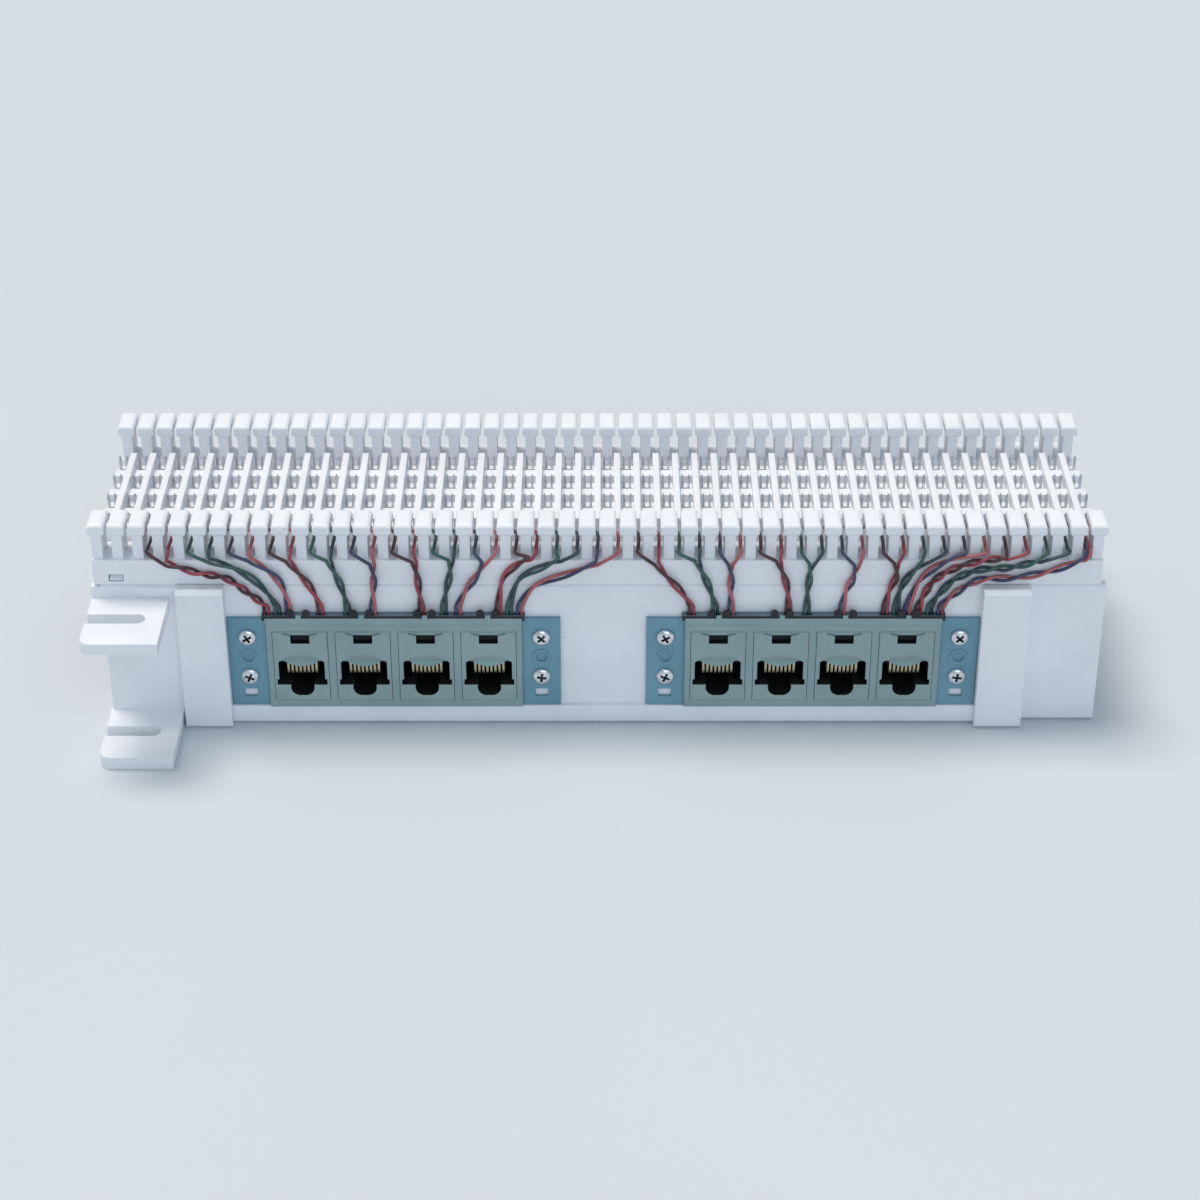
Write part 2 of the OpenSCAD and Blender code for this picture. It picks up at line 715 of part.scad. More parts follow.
// What stands up in front of the wire guide, to height h over its underside, seen from the side
module guide_stop(h) {
  stop_y = guide_front_y - guide_clip_t;
  root_z = guide_z - guide_clip_root;
  polygon([
    [face_y + sunk, root_z], [stop_y + bevel, root_z], [stop_y, root_z + bevel], [stop_y, guide_z + h],
    [guide_front_y, guide_z + h], [guide_front_y, guide_z], [face_y + sunk, guide_z]
  ]);
}

module jack_frame(side) {
  hole_w = jack_w + 2 * jack_clear;
  hole_h = jack_h + 2 * jack_clear;
  color("#97a3a6") difference() {
    union() {
      translate([module_x(side) - frame_l / 2, face_y, module_z]) cube([frame_l, frame_t, module_h]);
      translate([module_x(side) - frame_back_l / 2, face_y, frame_back_z])
        cube([frame_back_l, frame_back_y - face_y, frame_back_h]);
      along_x(module_x(side) - frame_l / 2, module_x(side) + frame_l / 2) guide_stop(guide_lip_h);
      for (j = [0 : jacks - 1]) {
        along_x(jack_x(side, j) - guide_clip_w / 2, jack_x(side, j) + guide_clip_w / 2)
          guide_stop(guide_h + guide_clip_over);
      }
    }
    for (j = [0 : jacks - 1]) translate([jack_x(side, j) - hole_w / 2, face_y - past, jack_z - jack_clear])
      cube([hole_w, frame_back_y - face_y + 2 * past, hole_h]);
  }
}

// Outline of a port, centred on X, with its floor at the origin
module port_outline() {
  translate([-port_w / 2, 0]) square([port_w, port_h]);
  translate([-port_ear_w / 2, 0]) square([port_ear_w, port_ear_h]);
  round_rect(-notch_w / 2, -notch_h, notch_w, notch_h + port_ear_h, notch_r);
}

// The arched scoop above a port
module scoop_outline() {
  arch_r = (pow(port_w / 2, 2) + pow(scoop_h, 2)) / (2 * scoop_h);
  intersection() {
    translate([0, scoop_h - arch_r]) circle(arch_r, $fn = 96);
    translate([-port_w / 2, 0]) square([port_w, scoop_h]);
  }
}

// What the slope over a port cuts away, seen from the side
module lead_side() {
  polygon([
    [face_y - past, port_top_z - lip_h], [face_y - past, port_top_z + scoop_h],
    [face_y, port_top_z + scoop_h], [face_y + lead_d, port_top_z - lip_h]
  ]);
}

// The funnel over a small window, whose centre is at the origin
module funnel_outline() {
  top = window_h / 2 + funnel_h;
  polygon([
    [-window_w / 2, 0], [window_w / 2, 0], [window_w / 2, window_h / 2],
    [funnel_w / 2, top - bevel], [funnel_w / 2, top], [-funnel_w / 2, top], [-funnel_w / 2, top - bevel],
    [-window_w / 2, window_h / 2]
  ]);
}

module jack(side, j) {
  collar_w = jack_w + 2 * collar_lip;
  collar_h = jack_h + 2 * collar_lip;
  color("#a9b2b3") translate([jack_x(side, j), 0, 0]) difference() {
    union() {
      translate([-jack_w / 2, face_y, jack_z]) cube([jack_w, jack_d, jack_h]);
      translate([-collar_w / 2, frame_back_y, jack_z - collar_lip]) cube([collar_w, collar_t, collar_h]);
    }
    along_y(face_y - past, port_back_y) translate([0, port_z]) port_outline();
    intersection() {
      along_y(face_y - past, face_y + lead_d) translate([0, port_top_z]) scoop_outline();
      along_x(-port_w / 2, port_w / 2) lead_side();
    }
    translate([0, 0, jack_z + window_rise]) {
      along_y(face_y - past, face_y + 2) square([window_w, window_h], center = true);
      along_y(face_y - past, face_y + funnel_d) funnel_outline();
    }
  }
}

// The contact carrier's lip under a port's ceiling, which carries on the slope above the port
module carrier_lip(side, j) {
  lip_r = (pow(lip_w / 2, 2) + pow(lip_h, 2)) / (2 * lip_h);
  ceiling_y = face_y + lead_d * scoop_h / (scoop_h + lip_h);
  color("#86a5a8") intersection() {
    along_y(face_y, face_y + lead_d + lip_t) translate([jack_x(side, j), port_top_z - lip_h + lip_r])
      circle(lip_r, $fn = 96);
    along_x(jack_x(side, j) - lip_w, jack_x(side, j) + lip_w) polygon([
      [ceiling_y, port_top_z], [face_y + lead_d, port_top_z - lip_h],
      [face_y + lead_d + lip_t, port_top_z - lip_h], [face_y + lead_d + lip_t, port_top_z]
    ]);
  }
}

// Spring contacts under a port's ceiling, behind the carrier's lip
module jack_contacts(side, j) {
  carrier_lip(side, j);
  strip = 0.35;
  front_y = face_y + 2;
  tip_z = port_top_z - contact_drop;
  color("#c9a84c") for (c = [0 : contacts - 1]) {
    x = jack_x(side, j) + (c - (contacts - 1) / 2) * contact_pitch;
    along_x(x - contact_w / 2, x + contact_w / 2) polygon([
      [port_back_y, tip_z], [front_y + 0.7, port_top_z - strip - 0.1], [front_y, port_top_z],
      [front_y + 0.9, port_top_z], [front_y + 1.2, port_top_z - 0.15], [port_back_y, tip_z + strip]
    ]);
  }
}

module plate_screws(side) {
  color("#d9dde0") screw_places(side) translate([0, plate_y, 0]) rotate([90, 0, 0]) rotate_extrude() polygon([
    [0, -screw_l], [screw_d / 2 - bevel, -screw_l], [screw_d / 2, bevel - screw_l], [screw_d / 2, 0],
    [screw_head_d / 2, 0], [screw_head_d / 2, screw_head_h - bevel], [screw_head_d / 2 - bevel, screw_head_h],
    [0, screw_head_h]
  ]);
}

// ---- Wire guides ----

module wire_guide(side) {
  guide_l = frame_l + 2 * guide_past;
  top = guide_z + guide_h;
  color("#23262e") difference() {
    translate([module_x(side) - guide_l / 2, guide_front_y, guide_z]) cube([guide_l, guide_out, guide_h]);
    for (p = [side_first(side) : side_first(side) + 11]) {
      translate([pair_entry(p) - guide_slot_l / 2, guide_y - guide_slot_w / 2, top - guide_slot_d])
        cube([guide_slot_l, guide_slot_w, guide_slot_d + past]);
    }
  }
  color("#23262e") along_y(guide_front_y, guide_front_y + lug_t) {
    for (j = [0 : jacks - 1], end = [-1, 1]) {
      translate([jack_x(side, j) + end * lug_off, top + lug_h - lug_w / 2]) {
        circle(d = lug_w);
        translate([-lug_w / 2, lug_w / 2 - lug_h - sunk]) square([lug_w, lug_h - lug_w / 2 + sunk]);
      }
    }
  }
}

// ---- Wires ----

// Index of a module's first pair
function side_first(side) = side < 0 ? 0 : 12;
// Where pair p enters its wire guide
function pair_entry(p) = ROUTES[p][len(ROUTES[p]) - 1];
// The last pair leaves by one gap, and all the others by two
function wire_gap(p, right) = p == 23 ? 48 : 2 * p + 2 + right;
function wire_gap_x(p, right) = gap_x(wire_gap(p, right)) + (p == 23 ? (right - 0.5) * 2 * pair_off : 0);
function wire_row(p, right) = p == 23 ? 48 + right : wire_gap(p, right);

function unit(v) = v / norm(v);
function catmull(a, b, c, d, t) =
  0.5 * (2 * b + (c - a) * t + (2 * a - 5 * b + 4 * c - d) * t * t + (3 * b - a - 3 * c + d) * t * t * t);
function curve_at(p, u) =
  let (n = len(p) - 1, i = min(floor(u), n - 1))
  catmull(p[max(i - 1, 0)], p[i], p[i + 1], p[min(i + 2, n)], u - i);
function tangent(p, i) = unit(p[min(i + 1, len(p) - 1)] - p[max(i - 1, 0)]);

// Places that a pair's middle line passes, from where its wires meet to the wire guide
function pair_points(p) =
  let (r = ROUTES[p], n = len(r) - 1)
  [for (i = [0 : n + 1]) i < n ? [r[i][0], guide_y, bracket_h + r[i][1]] : [r[n], guide_y, i == n ? lift_z : entry_z]];
// The same line down to just over the wire guide, with six points to a turn of the twist
function pair_turns(p) = len(ROUTES[p]) > 4 ? 3 : 1;
function pair_line(p) =
  let (pts = pair_points(p), n = 6 * pair_turns(p))
  [for (i = [0 : n]) curve_at(pts, i * (len(pts) - 2) / n)];
function twisted(p, right) =
  let (line = pair_line(p), n = len(line) - 1)
  [for (i = [0 : n])
    let (t = i == n ? [0, 0, -1] : tangent(line, i), a = 360 * pair_turns(p) * i / n + (right > 0 ? 0 : 180))
    line[i] + pair_off * (cos(a) * unit(cross(t, [0, 1, 0])) + sin(a) * [0, 1, 0])];

// The whole route of one wire, from its clip through the comb to the wire guide
function wire_path(p, right) =
  let (gx = wire_gap_x(p, right), cx = row_x(wire_row(p, right)), col_y = -1.5 * column_pitch)
  concat([
    [cx, col_y + 1, cell_z + 1.1], [cx, -field_half_w, cell_z + 1.2],
    [gx, -comb_inner, gap_wire_z - 0.2], [gx, 1 - half_w, gap_wire_z], [gx, guide_y + 0.3, gap_wire_z - 0.6]
  ], twisted(p, right), [[pair_entry(p) + (right > 0 ? 1 : -1) * pair_off, guide_y, entry_z]]);

module tube(path, r, sides) {
  toward = [0, 0.6, -0.8];
  n = len(path);
  points = [for (i = [0 : n - 1])
    let (t = tangent(path, i), u = unit(cross(t, toward)), v = cross(t, u))
    for (k = [0 : sides - 1]) path[i] + r * (cos(360 * k / sides) * u + sin(360 * k / sides) * v)];
  faces = concat(
    [[for (k = [0 : sides - 1]) k]],
    [[for (k = [0 : sides - 1]) n * sides - 1 - k]],
    [for (i = [0 : n - 2], k = [0 : sides - 1], half = [0, 1])
      let (a = i * sides + k, b = i * sides + (k + 1) % sides)
      half == 0 ? [a, b + sides, b] : [a, a + sides, b + sides]]
  );
  polyhedron(points, faces);
}

function wire_colour(p, right) =
  p % 3 == 0 ? (right > 0 ? "#a3343c" : "#43222e") :
  p % 3 == 1 ? (right > 0 ? "#1d5660" : "#1f7a5c") :
  (right > 0 ? "#b5564a" : "#39406e");

// The three pairs that serve jack j of a module
module jack_wires(side, j) {
  first = side_first(side) + 3 * j;
  for (p = [first : first + 2], right = [0, 1]) {
    color(wire_colour(p, right)) tube(wire_path(p, right), wire_d / 2, wire_sides);
  }
}

wiring_block();
clips(-1);  // near_clips
clips(1);  // far_clips
clip_retainer();
mounting_bracket();
jack_plate(-1);  // left_jack_plate
jack_plate(1);  // right_jack_plate
jack_frame(-1);  // left_jack_frame
jack_frame(1);  // right_jack_frame
wire_guide(-1);  // left_wire_guide
wire_guide(1);  // right_wire_guide
plate_screws(-1);  // left_plate_screws
plate_screws(1);  // right_plate_screws
jack(-1, 0);  // left_jack_1
jack(-1, 1);  // left_jack_2
jack(-1, 2);  // left_jack_3
jack(-1, 3);  // left_jack_4
jack(1, 0);  // right_jack_1
jack(1, 1);  // right_jack_2
jack(1, 2);  // right_jack_3
jack(1, 3);  // right_jack_4
jack_contacts(-1, 0);  // left_contacts_1
jack_contacts(-1, 1);  // left_contacts_2
jack_contacts(-1, 2);  // left_contacts_3
jack_contacts(-1, 3);  // left_contacts_4
jack_contacts(1, 0);  // right_contacts_1
jack_contacts(1, 1);  // right_contacts_2
jack_contacts(1, 2);  // right_contacts_3
jack_contacts(1, 3);  // right_contacts_4
jack_wires(-1, 0);  // left_wires_1
jack_wires(-1, 1);  // left_wires_2
jack_wires(-1, 2);  // left_wires_3
jack_wires(-1, 3);  // left_wires_4
jack_wires(1, 0);  // right_wires_1
jack_wires(1, 1);  // right_wires_2
jack_wires(1, 2);  // right_wires_3
jack_wires(1, 3);  // right_wires_4
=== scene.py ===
# %% [markdown]
# # A punch down wiring block on its bracket
# The block is a long white moulding. Two combs run along its edges, and four columns of
# tinned clips stand between them. It sits on a stand-off bracket whose near wall holds two
# modules of four jacks, and twisted pairs lead from the near clips down to the modules.
# The sizes are already settled in the loaded frame. This lesson rounds the edges of its
# pieces, draws the wires along their routes and gives every surface its finish.

# %% Load the frame
import math

import bmesh
import bpy
from mathutils import Matrix, Vector


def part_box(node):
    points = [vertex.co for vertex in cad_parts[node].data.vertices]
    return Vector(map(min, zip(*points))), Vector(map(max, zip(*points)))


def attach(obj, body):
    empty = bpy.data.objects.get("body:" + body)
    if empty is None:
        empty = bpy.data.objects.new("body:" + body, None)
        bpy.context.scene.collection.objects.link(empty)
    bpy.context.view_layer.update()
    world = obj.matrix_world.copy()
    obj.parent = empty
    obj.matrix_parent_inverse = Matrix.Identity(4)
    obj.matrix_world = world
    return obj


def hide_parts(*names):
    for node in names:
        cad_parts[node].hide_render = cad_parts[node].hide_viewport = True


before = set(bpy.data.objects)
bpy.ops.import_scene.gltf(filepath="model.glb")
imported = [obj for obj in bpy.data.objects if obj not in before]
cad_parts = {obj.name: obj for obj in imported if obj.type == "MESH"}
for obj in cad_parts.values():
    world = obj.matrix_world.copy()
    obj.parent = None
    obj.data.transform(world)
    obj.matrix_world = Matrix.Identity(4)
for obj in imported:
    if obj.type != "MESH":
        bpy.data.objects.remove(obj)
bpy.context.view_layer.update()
MM = 0.001
SIDES = ("left", "right")
print("loaded", len(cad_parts), "nodes")

# %% [markdown]
# ## Helpers for materials
# Real mouldings are never one flat colour. Each finish here starts from a plain colour, and
# noise on the Object coordinates shifts it slightly, changes the gloss and lifts a fine grain.
# Object coordinates are in metres and stay with the surface, so the grain has a true size.

# %% A builder for finishes
def srgb(r, g, b):
    """A colour given as 0 to 255 on screen, as the linear values that a shader needs."""
    def linear(v):
        v = v / 255
        return v / 12.92 if v <= 0.04045 else ((v + 0.055) / 1.055) ** 2.4
    return (linear(r), linear(g), linear(b), 1.0)


def node_of(tree, kind, **values):
    made = tree.nodes.new(kind)
    for name, value in values.items():
        made.inputs[name.replace("_", " ")].default_value = value
    return made


def finish(name, dark, light, rough, rough_swing=0.08, patch=60.0, grain=2500.0,
           grain_depth=0.000012, metallic=0.0, coat=0.0):
    """A finish whose colour wanders between two close tones, with a fine grain."""
    mat = bpy.data.materials.new(name)
    mat.use_nodes = True
    tree = mat.node_tree
    shader = tree.nodes["Principled BSDF"]
    shader.inputs["Metallic"].default_value = metallic
    shader.inputs["Coat Weight"].default_value = coat
    shader.inputs["Coat Roughness"].default_value = 0.2
    place = tree.nodes.new("ShaderNodeTexCoord")
    patches = node_of(tree, "ShaderNodeTexNoise", Scale=patch, Detail=4.0, Roughness=0.55)
    tones = tree.nodes.new("ShaderNodeValToRGB")
    tones.color_ramp.elements[0].position = 0.35
    tones.color_ramp.elements[0].color = dark
    tones.color_ramp.elements[1].position = 0.65
    tones.color_ramp.elements[1].color = light
    gloss = node_of(tree, "ShaderNodeMapRange", To_Min=rough - rough_swing,
                    To_Max=rough + rough_swing)
    fine = node_of(tree, "ShaderNodeTexNoise", Scale=grain, Detail=2.0)
    bump = node_of(tree, "ShaderNodeBump", Strength=0.6, Distance=grain_depth)
    link = tree.links.new
    link(place.outputs["Object"], patches.inputs["Vector"])
    link(place.outputs["Object"], fine.inputs["Vector"])
    link(patches.outputs["Fac"], tones.inputs["Fac"])
    link(tones.outputs["Color"], shader.inputs["Base Color"])
    link(patches.outputs["Fac"], gloss.inputs["Value"])
    link(gloss.outputs["Result"], shader.inputs["Roughness"])
    link(fine.outputs["Fac"], bump.inputs["Height"])
    link(bump.outputs["Normal"], shader.inputs["Normal"])
    return mat


# %% The finishes of the object
white = finish("white_moulding", srgb(231, 233, 237), srgb(238, 239, 243), 0.42)
retainer = finish("retainer_plastic", srgb(208, 211, 217), srgb(218, 221, 226), 0.5)
tinned = finish("tinned_clip", srgb(170, 175, 182), srgb(206, 210, 216), 0.38, patch=400.0,
                grain=6000.0, metallic=1.0)
teal = finish("teal_plastic", srgb(103, 147, 164), srgb(113, 157, 174), 0.4)
grey = finish("grey_plastic", srgb(132, 155, 156), srgb(143, 165, 166), 0.42)
jack_grey = finish("jack_plastic", srgb(136, 158, 158), srgb(147, 168, 168), 0.4)
slate = finish("slate_plastic", srgb(92, 112, 124), srgb(106, 126, 138), 0.4)
black = finish("black_plastic", srgb(12, 13, 18), srgb(20, 22, 28), 0.38)
carrier = finish("carrier_plastic", srgb(128, 158, 162), srgb(142, 172, 176), 0.36)
# Painted shade: inside the ports and windows the shell's grey plastic lies in shade, and that
# shade is painted near-black here.
painted_port_shade = finish("port_painted_shade", srgb(7, 8, 10), srgb(13, 14, 17), 0.55)
bright = finish("bright_screw", srgb(205, 209, 214), srgb(232, 234, 238), 0.22, rough_swing=0.06,
                patch=900.0, grain=9000.0, grain_depth=0.000004, metallic=1.0)
# Painted shade: the cross recess is the same metal as the head, painted darker for the shade
# inside it.
recess = finish("screw_recess_painted_shade", srgb(58, 64, 70), srgb(78, 84, 90), 0.5, patch=900.0, metallic=1.0)
gold = finish("gold_contact", srgb(188, 178, 146), srgb(210, 201, 170), 0.42, patch=900.0,
              grain=9000.0, grain_depth=0.000003, metallic=0.8)
print("made", len(bpy.data.materials), "finishes")

# %% [markdown]
# ## Rounded copies of the mouldings
# No moulded edge is razor sharp, and the small round along it catches the light. A packed
# node's mesh stays untouched, so each moulding is copied, its loose triangles are merged back
# into whole faces, and its sharp edges get a bevel of a tenth of a millimetre or more.

# %% Merge, bevel and place a copy
SHARP = math.radians(28)
FLAT = math.radians(0.3)
CAP_ROUND = 0.34 * MM
CAP_BAND = 0.7 * MM
BLOCK_ROUND = 0.12 * MM
RETAINER_ROUND = 0.2 * MM
BRACKET_ROUND = 0.35 * MM
PLATE_ROUND = 0.12 * MM
FRAME_ROUND = 0.14 * MM
GUIDE_ROUND = 0.15 * MM
SHELL_ROUND = 0.08 * MM


def merged_copy(node):
    """A bmesh of a node's shape with its triangles joined back into flat faces."""
    bm = bmesh.new()
    bm.from_mesh(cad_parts[node].data)
    bmesh.ops.remove_doubles(bm, verts=bm.verts, dist=1e-6)
    bmesh.ops.dissolve_limit(bm, angle_limit=FLAT, verts=bm.verts, edges=bm.edges)
    return bm


def round_edges(bm, width, segments=2, above=None):
    """Rounds the sharp edges, or only those that lie wholly above a level."""
    sharp = [e for e in bm.edges if len(e.link_faces) == 2 and e.calc_face_angle(0) > SHARP
             and (above is None or min(v.co.z for v in e.verts) > above)]
    bmesh.ops.bevel(bm, geom=sharp, offset=width, offset_type="OFFSET", affect="EDGES",
                    segments=segments, profile=0.5, material=-1, clamp_overlap=True)


def keep_piece(bm, name, mats, slot, *nodes):
    """Turns a bmesh into a finished piece that stands for the named nodes."""
    mesh = bpy.data.meshes.new(name)
    bm.to_mesh(mesh)
    bm.free()
    for mat in mats:
        mesh.materials.append(mat)
    mesh.shade_smooth()
    mesh.set_sharp_from_angle(angle=SHARP)
    piece = bpy.data.objects.new(name, mesh)
    bpy.context.scene.collection.objects.link(piece)
    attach(piece, "root")
    if nodes:
        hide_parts(*nodes)
    return piece


def rounded_copy(node, name, mats, slot, width):
    """A finished piece with the node's shape and small rounds along its sharp edges."""
    bm = merged_copy(node)
    round_edges(bm, width)
    piece = keep_piece(bm, name, mats, slot, node)
    print(name, len(piece.data.polygons), "faces")
    return piece


# %% The block, the retainer and the bracket
bm = merged_copy("wiring_block")
round_edges(bm, CAP_ROUND, 3, above=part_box("wiring_block")[1].z - CAP_BAND)
round_edges(bm, BLOCK_ROUND)
block = keep_piece(bm, "block_moulding", [white], "white_moulding", "wiring_block")
print("the block has", len(block.data.polygons), "faces")
rounded_copy("clip_retainer", "retainer_plate", [retainer], "retainer_plastic", RETAINER_ROUND)
rounded_copy("mounting_bracket", "bracket_moulding", [white], "white_moulding", BRACKET_ROUND)

# %% The plates, frames and wire guides of the two modules
LUG_H = 1.7 * MM
for side in SIDES:
    rounded_copy(f"{side}_jack_plate", f"{side}_plate", [teal], "teal_plastic", PLATE_ROUND)
    rounded_copy(f"{side}_jack_frame", f"{side}_frame", [grey], "grey_plastic", FRAME_ROUND)
    bm = merged_copy(f"{side}_wire_guide")
    round_edges(bm, GUIDE_ROUND)
    bar_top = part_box(f"{side}_wire_guide")[1].z - LUG_H
    for face in bm.faces:
        face.material_index = int(face.calc_center_median().z > bar_top + 0.05 * MM)
    keep_piece(bm, f"{side}_guide", [slate, black], "black_plastic", f"{side}_wire_guide")

# %% [markdown]
# ## The jacks
# A jack's shell is grey plastic, and inside its port and the small window above it the same
# plastic lies in shade. One
# copied shell holds both: the faces that lie behind the front face and inside the shell's
# outline get a near-black painted shade, and the rest stay grey. The imported springs are
# straight, and here they hang in a bow behind the carrier's lip, as springs do before a plug lifts
# them.

# %% Paint shade inside each port
JACKS = range(1, 5)
SIDE_RIM = 0.35 * MM
END_RIM = 0.9 * MM
FRONT_RIM = 0.9 * MM
BACK_RIM = 1.0 * MM


def paint_port_shade(bm, low, high):
    """Gives the faces inside the shell the second material, a near-black painted shade."""
    for face in bm.faces:
        c = face.calc_center_median()
        across = low.x + SIDE_RIM < c.x < high.x - SIDE_RIM
        upright = low.z + END_RIM < c.z < high.z - END_RIM
        behind = low.y + FRONT_RIM < c.y < high.y - BACK_RIM
        if across and upright and behind:
            face.material_index = 1


# %% Springs in a bow
def curve_at(points, u):
    """The point at u on the smooth curve that passes through all the points."""
    last = len(points) - 1
    i = min(int(u), last - 1)
    t = u - i
    a, b = points[max(i - 1, 0)], points[i]
    c, d = points[i + 1], points[min(i + 2, last)]
    return 0.5 * (2 * b + (c - a) * t + (2 * a - 5 * b + 4 * c - d) * t * t
                  + (3 * b - a - 3 * c + d) * t * t * t)


SPRINGS = 8
SPRING_PITCH = 1.02 * MM
SPRING_HALF_W = 0.27 * MM
SPRING_HALF_T = 0.12 * MM
LIP_BACK = 1.22 * MM
# Depth behind the lip and drop below the port's ceiling, in millimetres
BOW_PLACES = ((0.12, 0.1), (0.13, 1.6), (0.2, 3.1), (0.6, 4.4), (1.6, 5), (3.4, 5.1), (6.5, 4.3),
              (10, 2.4))
BOW = [Vector((0, depth * MM, -drop * MM)) for depth, drop in BOW_PLACES]


def add_spring(bm, foot):
    """One flat spring along the bow, from its foot in the port's ceiling."""
    path = [foot + curve_at(BOW, k / 3) for k in range(3 * len(BOW) - 2)]
    rings = []
    for k, p in enumerate(path):
        along = (path[min(k + 1, len(path) - 1)] - path[max(k - 1, 0)]).normalized()
        out = Vector((0, -along.z, along.y)) * SPRING_HALF_T
        aside = Vector((SPRING_HALF_W, 0, 0))
        corners = (-aside - out, aside - out, aside + out, out - aside)
        rings.append([bm.verts.new(p + q) for q in corners])
    faces = [bm.faces.new((a[i], a[i - 3], b[i - 3], b[i]))
             for a, b in zip(rings, rings[1:]) for i in range(4)]
    faces += [bm.faces.new(rings[0]), bm.faces.new(rings[-1])]
    bmesh.ops.recalc_face_normals(bm, faces=faces)


# %% Shells and contact sets
for side in SIDES:
    for number in JACKS:
        node = f"{side}_jack_{number}"
        bm = merged_copy(node)
        round_edges(bm, SHELL_ROUND)
        paint_port_shade(bm, *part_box(node))
        # The second finish of each shell is the painted shade inside its port.
        keep_piece(bm, f"{side}_jack_shell_{number}", [jack_grey, painted_port_shade], "jack_plastic", node)
        node = f"{side}_contacts_{number}"
        bm = merged_copy(node)
        low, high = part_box(node)
        lip_back = low.y + LIP_BACK
        straight = [v for v in bm.verts if v.co.y > lip_back]
        bmesh.ops.delete(bm, geom=straight, context="VERTS")
        for face in bm.faces:
            face.material_index = 1
        for k in range(SPRINGS):
            x = (low.x + high.x) / 2 + (k - (SPRINGS - 1) / 2) * SPRING_PITCH
            add_spring(bm, Vector((x, lip_back, high.z)))
        keep_piece(bm, f"{side}_contact_set_{number}", [gold, carrier], "gold_contact", node)
print("made", 2 * len(JACKS), "jacks")

# %% [markdown]
# ## Clips and screws
# The clips are stamped from tinned strip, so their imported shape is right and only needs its
# metal. The plate screws get what a driver needs: a pan head with a cross recess. One head is
# spun from half of its section, the cross is cut from it, and it is copied to each place with
# its own turn, because no two screws stop at the same angle.

# %% Metal of the clips
for node in ("near_clips", "far_clips"):
    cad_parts[node].data.materials.clear()
    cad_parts[node].data.materials.append(tinned)

# %% One pan head with a cross recess
def spun(profile, steps):
    """A closed round shape about Y from half of its section, given as radius and height."""
    bm = bmesh.new()
    verts = [bm.verts.new((r, -h, 0)) for r, h in profile]
    edges = [bm.edges.new(pair) for pair in zip(verts, verts[1:])]
    bmesh.ops.spin(bm, geom=verts + edges, cent=(0, 0, 0), axis=(0, 1, 0), angle=math.tau,
                   steps=steps, use_merge=True)
    bmesh.ops.remove_doubles(bm, verts=bm.verts, dist=1e-7)
    bmesh.ops.recalc_face_normals(bm, faces=bm.faces)
    return bm


def add_box(bm, low, high):
    made = bmesh.ops.create_cube(bm, size=1)["verts"]
    size = Vector(high) - Vector(low)
    bmesh.ops.scale(bm, vec=size, verts=made)
    bmesh.ops.translate(bm, vec=(Vector(low) + Vector(high)) / 2, verts=made)
    return made


def mesh_object(bm, name, mat):
    mesh = bpy.data.meshes.new(name)
    bm.to_mesh(mesh)
    bm.free()
    mesh.materials.append(mat)
    made = bpy.data.objects.new(name, mesh)
    bpy.context.scene.collection.objects.link(made)
    return made


def cut_away(target, cutter):
    """Takes the cutter away from the target's mesh, then removes the cutter."""
    cut = target.modifiers.new("recess", "BOOLEAN")
    cut.operation = "DIFFERENCE"
    cut.solver = "EXACT"
    cut.object = cutter
    shown = target.evaluated_get(bpy.context.evaluated_depsgraph_get())
    mesh = bpy.data.meshes.new_from_object(shown)
    target.modifiers.clear()
    target.data = mesh
    bpy.data.objects.remove(cutter)
    return target


screw_low, screw_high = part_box("left_plate_screws")
plate_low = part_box("left_jack_plate")[0]
RING_OUT = 0.3 * MM
HEAD_R = 2.3 * MM
HEAD_H = plate_low.y + RING_OUT - screw_low.y
SHANK_R = 1.1 * MM
SHANK_L = screw_high.y - plate_low.y - RING_OUT
TIP_CHAMFER = 0.3 * MM
SLIT_HALF_L = 1.25 * MM
SLIT_HALF_W = 0.32 * MM
SLIT_DEPTH = 0.8 * MM
RECESS_R = 1.3 * MM
profile = [(0, HEAD_H)]
for k in range(1, 7):
    turn = math.radians(15 * k)
    profile.append((HEAD_R * math.sin(turn) ** 0.8, HEAD_H * (0.35 + 0.65 * math.cos(turn))))
profile += [(HEAD_R, 0), (SHANK_R, 0), (SHANK_R, -SHANK_L + TIP_CHAMFER),
            (SHANK_R - TIP_CHAMFER, -SHANK_L), (0, -SHANK_L)]
head = mesh_object(spun(profile, 32), "head", bright)
for along, across in ((SLIT_HALF_L, SLIT_HALF_W), (SLIT_HALF_W, SLIT_HALF_L)):
    slit = bmesh.new()
    add_box(slit, (-along, -HEAD_H - MM, -across), (along, -HEAD_H + SLIT_DEPTH, across))
    head = cut_away(head, mesh_object(slit, "slit", bright))
screw_mesh = head.data
# Faces inside the cross get the second slot, a darker painted shade of the same metal.
for face in screw_mesh.polygons:
    x, y, z = face.center
    in_painted_recess_shade = math.hypot(x, z) < RECESS_R and 0.1 * MM < -y < 0.88 * HEAD_H
    face.material_index = int(in_painted_recess_shade)
screw_size = [round(v / MM, 2) for v in head.dimensions]
print("one screw has", len(screw_mesh.polygons), "faces and is", screw_size, "mm")
bpy.data.objects.remove(head)

